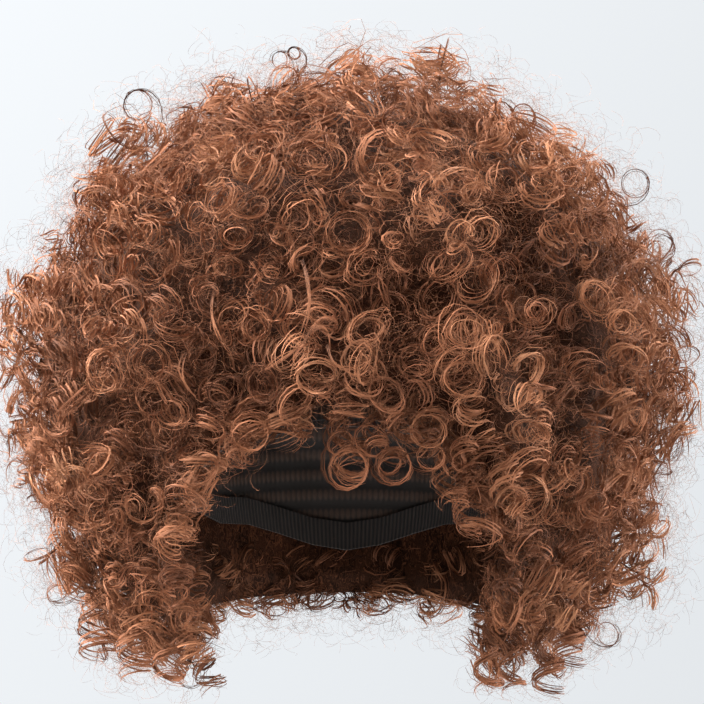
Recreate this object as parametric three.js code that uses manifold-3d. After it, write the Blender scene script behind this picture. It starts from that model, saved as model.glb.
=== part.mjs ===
// A curly afro wig: a thin cloth cap with an elastic edge band, and six sections of hair whose
// coiled locks are fused to a thick backing of hair. Millimetres, +Z up, the face looks along -Y.
// The origin is the inside of the cap's crown, where the top of the wearer's head rests.
import * as THREE from "three";
import { mergeVertices } from "three/addons/utils/BufferGeometryUtils.js";
import Module from "manifold-3d";

const wasm = await Module();
wasm.setup();

// Driving dimensions

// The inside of the cap is an ellipsoid that touches the origin at its crown.
const HEAD = { halfWidth: 75, halfLength: 94, crownHeight: 105 };
const CAP_WALL = 1.2;
const SEAT_GAP = 0.3;

// Columns round the head that the cap, the band and the hair share, and rows from crown to band.
const COLUMNS = 28;
const CAP_ROWS = 7;

// Height of the cap's rim, from the middle of the forehead round to the nape.
const RIM = [
  { azimuthDeg: 0, height: -72 },
  { azimuthDeg: 35, height: -78 },
  { azimuthDeg: 70, height: -108 },
  { azimuthDeg: 100, height: -114 },
  { azimuthDeg: 130, height: -130 },
  { azimuthDeg: 180, height: -146 },
];

const BAND = { wall: 1.0, aboveRim: 9, belowRim: 3 };

// The outer form of the hair: its reach at the widest level, and its outline from top to bottom.
const FORM = { halfWidth: 146, frontReach: 138, backReach: 152 };
const OUTLINE = [
  { share: 0, height: 74 },
  { share: 0.3, height: 69 },
  { share: 0.5, height: 54 },
  { share: 0.67, height: 36 },
  { share: 0.83, height: 10 },
  { share: 0.94, height: -20 },
  { share: 1, height: -58 },
  { share: 0.975, height: -95 },
  { share: 0.94, height: -122 },
  { share: 0.86, height: -150 },
  { share: 0.78, height: -170 },
  { share: 0.68, height: -186 },
];

// The backing of hair lies this far under the outer form, and keeps clear of the neck.
const BACKING = { depth: 19, rows: 8, lowerRows: 3, bottom: -166, neckShare: 0.92 };

// The edge of the hair round the face, from one cheek over the forehead to the other.
const FACE_EDGE = [
  { x: -58, height: -116 },
  { x: -47, height: -94 },
  { x: -28, height: -82 },
  { x: 0, height: -77 },
  { x: 26, height: -84 },
  { x: 45, height: -99 },
  { x: 56, height: -120 },
];
const FACE_BOTTOM = -230;

// A coiled lock: the radius of its coil, its thickness, its turns, and its rise to the outer form.
const CURL = { coilRadius: 15, thickness: 13, sides: 4, turns: 1.15, stepsPerTurn: 6, rise: 26 };
const CURL_SPACING = { along: 46, across: 49 };
const CURL_SPREAD = { size: 0.2, place: 0.15, tilt: 0.4, stagger: 0.2 };
const CURL_SEED = 20;

// Loose curls that hang over the brow, mostly on the right, set back from the outer form.
const BROW_CURLS = [
  { x: -38, height: -84, size: 0.7 },
  { x: -12, height: -76, size: 0.7 },
  { x: 4, height: -87, size: 0.75 },
  { x: 24, height: -92, size: 0.75 },
  { x: 39, height: -102, size: 0.8 },
];
const BROW_SETBACK = 9;

// Sections of hair, each between two heights and two azimuths, from the forehead round to the nape.
const CROWN_BASE = -20;
const NAPE_TOP = -104;
const TEMPLE_DEG = 22;
const EAR_DEG = 128;
const SECTION_GAP = 0.3;
const SECTIONS = [
  { name: "crown_hair", above: CROWN_BASE },
  { name: "fringe_hair", below: CROWN_BASE, fromDeg: -TEMPLE_DEG, toDeg: TEMPLE_DEG, lastRow: -64 },
  { name: "right_hair", below: CROWN_BASE, fromDeg: TEMPLE_DEG, toDeg: EAR_DEG },
  { name: "left_hair", below: CROWN_BASE, fromDeg: -EAR_DEG, toDeg: -TEMPLE_DEG },
  { name: "back_hair", below: CROWN_BASE, above: NAPE_TOP, fromDeg: EAR_DEG, toDeg: 360 - EAR_DEG },
  { name: "nape_hair", below: NAPE_TOP, fromDeg: EAR_DEG, toDeg: 360 - EAR_DEG },
];

const hairMaterial = new THREE.MeshStandardMaterial({ color: 0x7d4e36, roughness: 0.55, metalness: 0 });
const capMaterial = new THREE.MeshStandardMaterial({ color: 0x2a1b15, roughness: 0.85, metalness: 0 });
const bandMaterial = new THREE.MeshStandardMaterial({ color: 0x1f1410, roughness: 0.8, metalness: 0 });

// Helpers

const { clamp, degToRad, lerp, radToDeg, smoothstep } = THREE.MathUtils;

// Repeatable random numbers from 0 to 1.
function randomSource(seed) {
  let state = seed;
  return () => {
    state = (state * 1664525 + 1013904223) % 4294967296;
    return state / 4294967296;
  };
}

// Whole numbers from 1 up to a count.
function upTo(count) {
  return Array.from({ length: count }, (_, i) => i + 1);
}

function ringOf(pointAt) {
  return upTo(COLUMNS).map((column) => pointAt((2 * Math.PI * column) / COLUMNS));
}

// A closed mesh over rings of points. A ring of one point is a pole, and loop joins the last ring to
// the first. Each patch is split along its shorter diagonal, so that faces at a small gap agree.
function skin(rings, loop) {
  const points = rings.flat();
  const starts = rings.map((_, i) => rings.slice(0, i).flat().length);
  const faces = [];
  const strips = loop ? rings.length : rings.length - 1;
  for (let i = 0; i < strips; i++) {
    const j = (i + 1) % rings.length;
    const columns = Math.max(rings[i].length, rings[j].length);
    const at = (ring, column) => starts[ring] + (column % rings[ring].length);
    for (let k = 0; k < columns; k++) {
      const [a, b, c, d] = [at(i, k), at(j, k), at(j, k + 1), at(i, k + 1)];
      const across = points[b].distanceTo(points[d]) < points[a].distanceTo(points[c]);
      if (rings[i].length === 1) faces.push(a, b, c);
      else if (rings[j].length === 1) faces.push(a, b, d);
      else if (across) faces.push(a, b, d, d, b, c);
      else faces.push(a, b, c, a, c, d);
    }
  }
  const geometry = new THREE.BufferGeometry().setFromPoints(points);
  geometry.setIndex(faces);
  return geometry;
}

function toSolid(geometry) {
  const bare = geometry.clone();
  bare.deleteAttribute("normal");
  bare.deleteAttribute("uv");
  const merged = mergeVertices(bare, 1e-3);
  const vertProperties = merged.getAttribute("position").array;
  const triVerts = new Uint32Array(merged.index.array);
  return new wasm.Manifold(new wasm.Mesh({ numProp: 3, vertProperties, triVerts }));
}

function toGeometry(solid) {
  const mesh = solid.getMesh();
  const geometry = new THREE.BufferGeometry();
  geometry.setAttribute("position", new THREE.Float32BufferAttribute(mesh.vertProperties, 3));
  geometry.setIndex(new THREE.BufferAttribute(mesh.triVerts, 1));
  geometry.computeVertexNormals();
  return geometry;
}

// Cap and band

// The height of the rim at an azimuth, eased between the rows of its table.
function rimHeight(azimuth) {
  const deg = Math.abs(radToDeg(Math.atan2(Math.sin(azimuth), Math.cos(azimuth))));
  const next = RIM.findIndex((row, i) => i > 0 && deg <= row.azimuthDeg + 1e-6);
  const [from, to] = [RIM[next - 1], RIM[next]];
  return lerp(from.height, to.height, smoothstep(deg, from.azimuthDeg, to.azimuthDeg));
}

// A point on the head's ellipsoid grown by an offset, at an azimuth and an angle from the crown.
function headPoint(azimuth, polar, offset) {
  const ring = Math.sin(polar);
  return new THREE.Vector3(
    (HEAD.halfWidth + offset) * ring * Math.sin(azimuth),
    -(HEAD.halfLength + offset) * ring * Math.cos(azimuth),
    -HEAD.crownHeight + (HEAD.crownHeight + offset) * Math.cos(polar),
  );
}

// The angle from the crown at which the head's ellipsoid comes down to a height.
function polarAt(height) {
  return Math.acos(clamp(1 + height / HEAD.crownHeight, -1, 1));
}

// Rings of the head's ellipsoid grown by an offset: from the crown to the top of the band, then the rim.
function capRings(offset) {
  const bandTop = (azimuth) => polarAt(rimHeight(azimuth) + BAND.aboveRim);
  return [
    [headPoint(0, 0, offset)],
    ...upTo(CAP_ROWS).map((row) =>
      ringOf((azimuth) => headPoint(azimuth, (bandTop(azimuth) * row) / CAP_ROWS, offset)),
    ),
    ringOf((azimuth) => headPoint(azimuth, polarAt(rimHeight(azimuth)), offset)),
  ];
}

// The cap's two faces run from the crown to the rim and meet there.
function capGeometry() {
  return skin([...capRings(CAP_WALL), ...capRings(0).toReversed()]);
}

// The band lines the rim and reaches a little below it.
function bandGeometry() {
  const heights = [BAND.aboveRim, 0, -BAND.belowRim];
  const face = (offset) =>
    heights.map((height) =>
      ringOf((azimuth) => headPoint(azimuth, polarAt(rimHeight(azimuth) + height), offset)),
    );
  return skin([...face(-SEAT_GAP), ...face(-SEAT_GAP - BAND.wall).toReversed()], true);
}

// Form of the hair

// The outline at the side of the head, which the front and back follow in proportion.
const outline = new THREE.SplineCurve(
  OUTLINE.map(({ share, height }) => new THREE.Vector2(share * FORM.halfWidth, height)),
);

// A point of the outer form, a share of the way down its outline.
function formPoint(azimuth, down) {
  const { x: sideReach, y: height } = outline.getPointAt(clamp(down, 0, 1));
  const reach = Math.cos(azimuth) > 0 ? FORM.frontReach : FORM.backReach;
  const depth = (sideReach * reach) / FORM.halfWidth;
  return new THREE.Vector3(sideReach * Math.sin(azimuth), -depth * Math.cos(azimuth), height);
}

function formNormal(azimuth, down) {
  const step = 0.01;
  const round = formPoint(azimuth + step, down).sub(formPoint(azimuth - step, down));
  const along = formPoint(azimuth, down + step).sub(formPoint(azimuth, down - step));
  return along.cross(round).normalize();
}

// The share of the way down the outline at which it reaches a height.
function downAt(height) {
  let [low, high] = [0, 1];
  while (high - low > 1e-6) {
    const middle = (low + high) / 2;
    if (outline.getPointAt(middle).y > height) low = middle;
    else high = middle;
  }
  return low;
}

// Backing

// The inside of the hair below the cap, which hangs clear of the neck.
function neckPoint(azimuth, height) {
  const offset = CAP_WALL + SEAT_GAP;
  const share = Math.max(Math.sin(polarAt(height)), BACKING.neckShare);
  return new THREE.Vector3(
    (HEAD.halfWidth + offset) * share * Math.sin(azimuth),
    -(HEAD.halfLength + offset) * share * Math.cos(azimuth),
    height,
  );
}

// The thick shell of hair under the curls, before the face is cut out of it.
function backingGeometry() {
  const { depth, rows, lowerRows, bottom } = BACKING;
  const sunk = (azimuth, down) =>
    formPoint(azimuth, down).addScaledVector(formNormal(azimuth, down), -depth);
  const outer = upTo(rows).map((row) => ringOf((azimuth) => sunk(azimuth, row / rows)));
  const lower = upTo(lowerRows).map((row) =>
    ringOf((azimuth) => neckPoint(azimuth, lerp(rimHeight(azimuth), bottom, row / lowerRows))),
  );
  const crown = [new THREE.Vector3(0, 0, OUTLINE[0].height - depth)];
  const inner = [...capRings(CAP_WALL + SEAT_GAP), ...lower];
  return skin([crown, ...outer, ...inner.toReversed()]);
}

// The space in front of the face, as a bar along Y with the outline of the hair's edge.
function faceSpace() {
  const edge = FACE_EDGE.map(({ x, height }) => new THREE.Vector2(x, height));
  const [first, last] = [edge[0], edge.at(-1)];
  const shape = new THREE.Shape([
    new THREE.Vector2(first.x, FACE_BOTTOM),
    new THREE.Vector2(last.x, FACE_BOTTOM),
    ...edge.toReversed(),
  ]);
  const geometry = new THREE.ExtrudeGeometry(shape, { depth: 2 * FORM.frontReach, bevelEnabled: false });
  return geometry.rotateX(Math.PI / 2);
}

// Curls

// A lock that winds outwards round an axis, steeply out of the backing and flatter near the outer form.
class CoilCurve extends THREE.Curve {
  constructor(end, axis, turnFrom, size) {
    super();
    Object.assign(this, { end, axis, turnFrom, size });
    const away = Math.abs(axis.z) < 0.9 ? new THREE.Vector3(0, 0, 1) : new THREE.Vector3(1, 0, 0);
    this.side = new THREE.Vector3().crossVectors(axis, away).normalize();
    this.up = new THREE.Vector3().crossVectors(this.side, axis);
  }

  getPoint(t, target = new THREE.Vector3()) {
    const angle = this.turnFrom + 2 * Math.PI * CURL.turns * t;
    const radius = CURL.coilRadius * this.size;
    return target
      .copy(this.end)
      .addScaledVector(this.side, radius * Math.cos(angle))
      .addScaledVector(this.up, radius * Math.sin(angle))
      .addScaledVector(this.axis, -CURL.rise * (1 - t) ** 3);
  }
}

function curlSolid(end, axis, turnFrom, size) {
  const round = new THREE.Shape();
  round.absarc(0, 0, (CURL.thickness * size) / 2, 0, 2 * Math.PI);
  const section = new THREE.Shape(round.getSpacedPoints(CURL.sides).slice(0, CURL.sides));
  const geometry = new THREE.ExtrudeGeometry(section, {
    steps: Math.round(CURL.turns * CURL.stepsPerTurn),
    bevelEnabled: false,
    extrudePath: new CoilCurve(end, axis, turnFrom, size),
  });
  return toSolid(geometry);
}

// Whether a curl in front of the head would hang in the opening for the face.
function inFace({ x, y, z }) {
  const next = FACE_EDGE.findIndex((row, i) => i > 0 && x <= row.x);
  if (y > 0 || next < 1 || x < FACE_EDGE[0].x) return false;
  const [from, to] = [FACE_EDGE[next - 1], FACE_EDGE[next]];
  return z < lerp(from.height, to.height, (x - from.x) / (to.x - from.x));
}

// A section's rows of curls, spread evenly between its edges, as hair is sewn to a cap in rows.
function sectionCurls({ above, below, fromDeg = 0, toDeg = 360, lastRow = above }, random) {
  const spread = (amount) => amount * (random() - 0.5);
  const top = below === undefined ? 0 : downAt(below);
  const bottom = lastRow === undefined ? 1 : downAt(lastRow);
  const rows = Math.round((outline.getLength() * (bottom - top)) / CURL_SPACING.along);
  const curls = [];
  for (let row = 0; row < rows; row++) {
    const down = lerp(top, bottom, (row + 0.5) / rows);
    const arc = outline.getPointAt(down).x * degToRad(toDeg - fromDeg);
    const count = Math.max(1, Math.round(arc / CURL_SPACING.across));
    const stagger = CURL_SPREAD.stagger * (row % 2 === 0 ? 1 : -1);
    for (let column = 0; column < count; column++) {
      const place = column + 0.5 + stagger + spread(CURL_SPREAD.place);
      const azimuth = degToRad(lerp(fromDeg, toDeg, place / count));
      const normal = formNormal(azimuth, down);
      const tilt = new THREE.Vector3(spread(1), spread(1), spread(1)).multiplyScalar(CURL_SPREAD.tilt);
      const end = formPoint(azimuth, down).addScaledVector(normal, -CURL.thickness / 2);
      const size = 1 + spread(CURL_SPREAD.size);
      const turnFrom = 2 * Math.PI * random();
      if (!inFace(end)) curls.push(curlSolid(end, normal.add(tilt).normalize(), turnFrom, size));
    }
  }
  return curls;
}

// The loose curls over the brow lie flat against the front of the form, and hang from their tops.
function browCurls() {
  const front = new THREE.Vector3(0, -1, 0);
  return BROW_CURLS.map(({ x, height, size }) => {
    const reach = FORM.frontReach * Math.sqrt(1 - (x / FORM.halfWidth) ** 2);
    const end = new THREE.Vector3(x, -reach + CURL.thickness / 2 + BROW_SETBACK, height);
    return curlSolid(end, front, Math.PI / 2, size);
  });
}

// Sections

// The half-spaces that bound a section, as normals that point into it and offsets.
function sectionPlanes({ above, below, fromDeg, toDeg }) {
  const planes = [];
  if (above !== undefined) planes.push([[0, 0, 1], above + SECTION_GAP / 2]);
  if (below !== undefined) planes.push([[0, 0, -1], -below + SECTION_GAP / 2]);
  if (fromDeg !== undefined) {
    const [from, to] = [degToRad(fromDeg), degToRad(toDeg)];
    planes.push([[Math.cos(from), Math.sin(from), 0], SECTION_GAP / 2]);
    planes.push([[-Math.cos(to), -Math.sin(to), 0], SECTION_GAP / 2]);
  }
  return planes;
}

// A section's backing and curls inside its planes, without the crumbs that the planes cut loose.
function sectionSolid(backing, section, random) {
  const loose = section.name === "fringe_hair" ? browCurls() : [];
  const whole = wasm.Manifold.union([backing, ...sectionCurls(section, random), ...loose]);
  const cut = sectionPlanes(section).reduce((rest, plane) => rest.trimByPlane(...plane), whole);
  return cut.decompose().reduce((most, body) => (body.volume() > most.volume() ? body : most));
}

// Assembly

function named(name, geometry, material) {
  const mesh = new THREE.Mesh(geometry, material);
  mesh.name = name;
  return mesh;
}

const wig = new THREE.Group();
wig.name = "curly_wig";
wig.add(named("cap", capGeometry(), capMaterial));
wig.add(named("edge_band", bandGeometry(), bandMaterial));

const random = randomSource(CURL_SEED);
const backing = toSolid(backingGeometry()).subtract(toSolid(faceSpace()));
for (const section of SECTIONS) {
  wig.add(named(section.name, toGeometry(sectionSolid(backing, section, random)), hairMaterial));
}

export default wig;
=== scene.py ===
# %% [markdown]
# # A curly wig, dressed in hair
#
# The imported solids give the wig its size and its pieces: a cloth cap, an elastic band and six sections
# of hair. This lesson keeps the cap and the band and gives them cloth finishes. It replaces each section
# of hair with thin strips that wind into ringlets.
#
# Blender's own hair system could grow the strands, but a shared part has to be plain mesh, so that any
# program can read it. Strips built from arrays look much the same and can be counted.

# %% Load the frame
import math

import bmesh
import bpy
import numpy as np
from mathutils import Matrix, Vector


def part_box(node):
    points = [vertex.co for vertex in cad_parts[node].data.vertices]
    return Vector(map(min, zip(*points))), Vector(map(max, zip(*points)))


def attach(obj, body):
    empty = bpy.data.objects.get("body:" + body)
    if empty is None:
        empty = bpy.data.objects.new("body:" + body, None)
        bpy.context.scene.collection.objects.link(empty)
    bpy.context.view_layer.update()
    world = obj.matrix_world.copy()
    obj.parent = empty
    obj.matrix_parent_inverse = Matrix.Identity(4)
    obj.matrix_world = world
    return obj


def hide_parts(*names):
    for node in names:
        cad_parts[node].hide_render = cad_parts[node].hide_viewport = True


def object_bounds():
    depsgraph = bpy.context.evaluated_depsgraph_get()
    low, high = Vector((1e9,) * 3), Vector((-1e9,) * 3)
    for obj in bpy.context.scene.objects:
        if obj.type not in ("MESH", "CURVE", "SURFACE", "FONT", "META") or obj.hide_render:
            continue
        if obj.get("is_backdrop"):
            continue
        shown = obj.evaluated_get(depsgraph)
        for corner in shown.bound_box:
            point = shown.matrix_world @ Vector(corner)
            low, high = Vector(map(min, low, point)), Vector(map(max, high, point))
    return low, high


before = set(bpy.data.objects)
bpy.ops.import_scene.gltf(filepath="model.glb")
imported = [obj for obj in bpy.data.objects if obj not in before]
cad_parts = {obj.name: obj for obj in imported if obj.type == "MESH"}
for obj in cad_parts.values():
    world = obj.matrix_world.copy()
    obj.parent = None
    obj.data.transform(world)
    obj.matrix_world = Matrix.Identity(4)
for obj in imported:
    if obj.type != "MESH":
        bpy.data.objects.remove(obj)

MM = 0.001
cad_low, cad_high = (np.array(corner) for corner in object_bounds())
print("solids in mm:", np.round((cad_high - cad_low) / MM, 1), "nodes:", sorted(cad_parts))

# %% [markdown]
# ## Camera
#
# The photograph was taken straight from the front, a little above the middle of the hair, from about
# 1.3 metres. A long lens keeps the curls at the edge of the outline from looking squeezed. Its length
# could be guessed, but the width of the picture at the middle of the wig can be measured, so that sets it.

# %% Place the camera
EYE_DISTANCE = 1.29
EYE_ELEVATION = math.radians(4)
PICTURE_WIDTH = 0.3005
LOOK_AT = Vector((0.0025, 0, -0.052))


def add_object(name, data):
    """An object with its data, put into the scene."""
    thing = bpy.data.objects.new(name, data)
    bpy.context.collection.objects.link(thing)
    return thing


def look_along(thing, direction):
    """Turns a camera or a lamp to look along a direction."""
    thing.rotation_euler = direction.to_track_quat("-Z", "Y").to_euler()


camera = add_object("camera", bpy.data.cameras.new("camera"))
towards_eye = Vector((0, -math.cos(EYE_ELEVATION), math.sin(EYE_ELEVATION)))
camera.location = LOOK_AT + EYE_DISTANCE * towards_eye
look_along(camera, -towards_eye)
camera.data.lens = camera.data.sensor_width * EYE_DISTANCE / PICTURE_WIDTH
bpy.context.scene.camera = camera
print("lens in mm:", round(camera.data.lens, 1))

# %% [markdown]
# ## Helpers for finishes
#
# A finish is a tree of shader nodes. Each node could be made, set and linked line by line, but a few
# helpers keep the finishes short enough to read. They make a node, feed its inputs with plain values or
# with other nodes, do sums and stretch a range of values.

# %% Make and feed shader nodes
def feed(tree, node, feeds):
    """Gives inputs of a node, by name or number, links from other sockets or plain values."""
    for key, value in feeds.items():
        if isinstance(value, bpy.types.NodeSocket):
            tree.links.new(value, node.inputs[key])
        else:
            node.inputs[key].default_value = value


def add_node(tree, kind, feeds=None, **settings):
    """A shader node with its settings and its inputs."""
    node = tree.nodes.new("ShaderNode" + kind)
    for key, value in settings.items():
        setattr(node, key, value)
    feed(tree, node, feeds or {})
    return node


def calculate(tree, operation, *values):
    """A sum or another operation on sockets or numbers. Gives its result."""
    return add_node(tree, "Math", dict(enumerate(values)), operation=operation).outputs[0]


def stretch(tree, value, start, stop, first, last):
    """A value that runs from first to last while another runs from start to stop."""
    feeds = {"Value": value, "From Min": start, "From Max": stop, "To Min": first, "To Max": last}
    return add_node(tree, "MapRange", feeds).outputs["Result"]


def object_place(tree):
    """The place on an object, as sockets X, Y and Z."""
    place = add_node(tree, "TexCoord").outputs["Object"]
    return add_node(tree, "SeparateXYZ", {"Vector": place}).outputs


def new_material(name):
    """A material, its tree and its shader."""
    material = bpy.data.materials.new(name)
    material.use_nodes = True
    tree = material.node_tree
    return material, tree, tree.nodes["Principled BSDF"]


print("helpers:", [helper.__name__ for helper in (feed, add_node, calculate, stretch)])

# %% [markdown]
# ## Stage
#
# A studio shows a wig on paper that is pale and curves up behind it. Here the floor is round and curves
# up into a wall and a dome all round, so that no line shows from any angle. Lamps would leave bright
# patches on the paper, so it is black and only glows, which is painted light: a little more on the left and
# up the wall. Only the camera sees it: the light on the hair comes from the lamps and the sky. Its outside
# is clear, so the wig also shows from below.

# %% Make the paper
FLOOR_LEVEL = -0.9
PAPER = dict(glow=(0.95, 0.985, 1.02), left=0.98, right=0.865, reach=0.8, floor=0.93, wall=0.35)


def paper_material():
    """Paper that only glows, as painted light: more on the left and up the wall, clear when seen from
    outside.
    """
    material, tree, paper = new_material("glowing paper")
    place = object_place(tree)
    # Painted light: the glow falls off from left to right and from the wall down to the floor.
    sideways = stretch(tree, place["X"], -PAPER["reach"], PAPER["reach"], PAPER["left"], PAPER["right"])
    upward = stretch(tree, place["Z"], FLOOR_LEVEL, PAPER["wall"], PAPER["floor"], 1)
    glow = {
        "Base Color": (0, 0, 0, 1),
        "Specular IOR Level": 0,
        "Emission Color": (*PAPER["glow"], 1),
        "Emission Strength": calculate(tree, "MULTIPLY", sideways, upward),
    }
    feed(tree, paper, glow)
    clear = add_node(tree, "BsdfTransparent").outputs["BSDF"]
    outside = add_node(tree, "NewGeometry").outputs["Backfacing"]
    chosen = add_node(tree, "MixShader", {"Fac": outside, 1: paper.outputs["BSDF"], 2: clear})
    feed(tree, tree.nodes["Material Output"], {"Surface": chosen.outputs["Shader"]})
    return material


paper_finish = paper_material()
print("finish:", paper_finish.name)

# %% Build the stage
STAGE = dict(floor_radius=3.5, bend_radius=2.0, wall_top=5.0, bend_steps=14, columns=64)


def stage_profile():
    """Radii and heights of the stage: floor, quarter circle, wall, dome."""
    floor, bend = STAGE["floor_radius"], STAGE["bend_radius"]
    wall = floor + bend
    turns = np.linspace(0, math.pi / 2, STAGE["bend_steps"] + 1)
    points = [(floor + bend * math.sin(t), FLOOR_LEVEL + bend * (1 - math.cos(t))) for t in turns]
    points += [(wall * math.cos(t), STAGE["wall_top"] + wall * math.sin(t)) for t in turns[:-1]]
    return points


def ring_faces(count, columns, turned_round=False):
    """Faces between rings of points, with the first and the last ring filled."""
    ring = np.arange(columns)
    after = (ring + 1) % columns
    ends = [ring, (count - 1) * columns + ring[::-1]]
    sides = [ring, columns + ring, columns + after, after]
    if turned_round:
        ends = [end[::-1] for end in ends]
        sides = [sides[i] for i in (0, 3, 2, 1)]
    faces = [end.tolist() for end in ends]
    for row in range(count - 1):
        faces += (np.stack(sides, axis=-1) + row * columns).tolist()
    return faces


profile = stage_profile()
around = np.linspace(0, 2 * math.pi, STAGE["columns"], endpoint=False)
corners = [(r * math.cos(a), r * math.sin(a), z) for r, z in profile for a in around]
stage_mesh = bpy.data.meshes.new("stage")
stage_mesh.from_pydata(corners, [], ring_faces(len(profile), STAGE["columns"]))
stage_mesh.shade_smooth()
stage_mesh.materials.append(paper_finish)
stage = add_object("stage", stage_mesh)
stage.visible_diffuse = False
stage.visible_glossy = False
stage.visible_shadow = False
stage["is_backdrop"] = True
print("stage faces:", len(stage_mesh.polygons))

# %% [markdown]
# ## Light
#
# A pale sky lights the wig evenly from all sides. The strongest lamp stands high on the left. Others graze
# the top, the right side and the back, because the loose hairs at the edge of a wig catch such light. One
# lamp from the front would be simpler, but it would flatten the curls, so only weak ones fill in there.

# %% Hang the lights
# Name, place, size in metres, power in watts
LIGHTS = [
    ("key", (-1.1, -0.8, 1.7), 1.5, 4),
    ("fill", (1.7, -0.35, -0.45), 1.1, 27),
    ("top", (-0.1, 0.4, 1.5), 1.8, 74),
    ("left side", (-1.55, -0.14, 0.8), 1.8, 230),
    ("right side", (1.5, 0.0, 0.0), 1.2, 54),
    ("back", (0.3, 1.6, 0.5), 1.2, 30),
    ("below", (0.0, -0.3, -0.85), 1.2, 8),
]
SKY = dict(color=(0.93, 0.965, 1.0), strength=0.66)

for name, place, size, power in LIGHTS:
    lamp = bpy.data.lights.new(name, "AREA")
    lamp.size = size
    lamp.energy = power
    holder = add_object(name, lamp)
    holder.location = place
    holder.visible_camera = False
    look_along(holder, LOOK_AT - Vector(place))

world = bpy.data.worlds.new("sky")
world.use_nodes = True
sky = world.node_tree.nodes["Background"]
feed(world.node_tree, sky, {"Color": (*SKY["color"], 1), "Strength": SKY["strength"]})
bpy.context.scene.world = world
bpy.context.scene.view_settings.view_transform = "Standard"
print("lights:", [light[0] for light in LIGHTS])

# %% [markdown]
# ## Form of the hair
#
# The curls of an afro stand off the head to an even, rounded form. A ball could stand for it, but the
# sides hang lower than a ball and turn in at the bottom. So the form is the outline at the side of the
# hair, carried round to the front and the back. The table gives that outline as shares of the solids' own
# box, so that the curls end where the solids do.

# %% Describe the outer form
def columns_of(names, *rows):
    """A table's columns as arrays, from their names and rows of numbers."""
    return {name: np.array(values, float) for name, values in zip(names.split(), zip(*rows))}


OUTLINE = columns_of(
    "reach level",
    (0.00, 1.000), (0.17, 0.994), (0.30, 0.977), (0.41, 0.952),
    (0.52, 0.918), (0.67, 0.851), (0.83, 0.750), (0.94, 0.636),
    (0.985, 0.560), (1.00, 0.490), (0.995, 0.420), (0.975, 0.348),
    (0.94, 0.244), (0.86, 0.138), (0.78, 0.062), (0.70, 0.010),
)
SIDE_MARGIN = 2 * MM
SMOOTHING = 0.03
TINY = 1e-9


def run_along(steps):
    """How far along a line its points lie, from the lengths of its steps."""
    return np.concatenate([[0], np.cumsum(steps)])


half_width = (cad_high[0] - cad_low[0]) / 2 + SIDE_MARGIN
front_reach, back_reach = -cad_low[1], cad_high[1]
form_reach = OUTLINE["reach"]
form_height = cad_low[2] + (cad_high[2] - cad_low[2]) * OUTLINE["level"]
form_run = run_along(np.hypot(np.diff(form_reach) * half_width, np.diff(form_height)))
form_length = form_run[-1]


def form_point(azimuth, down):
    """Points of the outer form. Azimuth 0 is the front, and down runs from 0 at the top to 1."""
    reach = np.interp(down * form_length, form_run, form_reach)
    depth = np.where(np.cos(azimuth) > 0, front_reach, back_reach)
    height = np.interp(down * form_length, form_run, form_height)
    return np.stack([reach * half_width * np.sin(azimuth), -reach * depth * np.cos(azimuth), height], axis=-1)


def unit(vectors):
    """Vectors of the same directions, one long."""
    return vectors / np.maximum(np.linalg.norm(vectors, axis=-1, keepdims=True), TINY)


def form_normal(azimuth, down):
    """Outward normals of the form, smoothed over a few millimetres."""
    round_it = form_point(azimuth + SMOOTHING, down) - form_point(azimuth - SMOOTHING, down)
    below = form_point(azimuth, np.minimum(down + SMOOTHING, 1))
    above = form_point(azimuth, np.maximum(down - SMOOTHING, 0))
    return unit(np.cross(below - above, round_it))


print("form in mm: half width", round(half_width / MM), "outline", round(form_length / MM))

# %% [markdown]
# ## Edge of the hair round the face
#
# The hair is open in front. Its edge runs up from one cheek, over the forehead, to the other cheek, a
# little lower on one side. The opening could be cut out of the finished curls, but cut hair ends in a
# straight line. A line of points, seen from the front, is enough to ask whether a curl would hang in the
# opening before it is made.

# %% Describe the face opening
FACE_EDGE = MM * np.array([
    (-58, -230), (-58, -116), (-47, -94), (-28, -79), (-4, -72),
    (22, -76), (45, -99), (56, -120), (56, -230),
])


def grown_edge(beside, above):
    """The face edge moved out, by one margin in millimetres at its sides and another at its top."""
    middle = np.array([FACE_EDGE[:, 0].mean(), FACE_EDGE[1:-1, 1].min()])
    far = np.abs(FACE_EDGE[1:-1] - middle).max(axis=0)
    return middle + (FACE_EDGE - middle) * (1 + np.array([beside, above]) * MM / far)


def in_opening(points, margin):
    """Whether points in front lie in the face opening, grown by a margin in millimetres."""
    grown = grown_edge(margin, margin)
    x, y, z = points.T
    ceiling = np.interp(x, grown[1:-1, 0], grown[1:-1, 1])
    return (x > grown[0, 0]) & (x < grown[-1, 0]) & (z < ceiling) & (y < 0)


print("opening in mm: width", round(np.ptp(FACE_EDGE[:, 0]) / MM))

# %% [markdown]
# ## Finish of the hair
#
# Each lock is a bundle of fibres. No two have the same brown, and the light catches them in fine streaks
# along their length. The streaks lift the colour, partly as the fibres' own tones and partly as painted
# highlights, and the colour is painted darker towards the roots as shade. Every strip carries a map with
# the fibre's own tone across it and its length along it, and the whole finish is worked out from that map.
# A photograph of hair could be wrapped round the strips, but streaks worked out from a map stay sharp
# however close the camera comes.
#
# The streaks are a node group, because the hair below the curls uses them too.

# %% Make the streak group
MAP_NAME = "OFBake"
STREAK_INPUTS = dict(Across=0.0, Along=0.0, Fineness=300.0, Length=3.0)
STREAK_DETAIL = 2
STREAK_RANGE = (0.28, 0.72)


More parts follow.
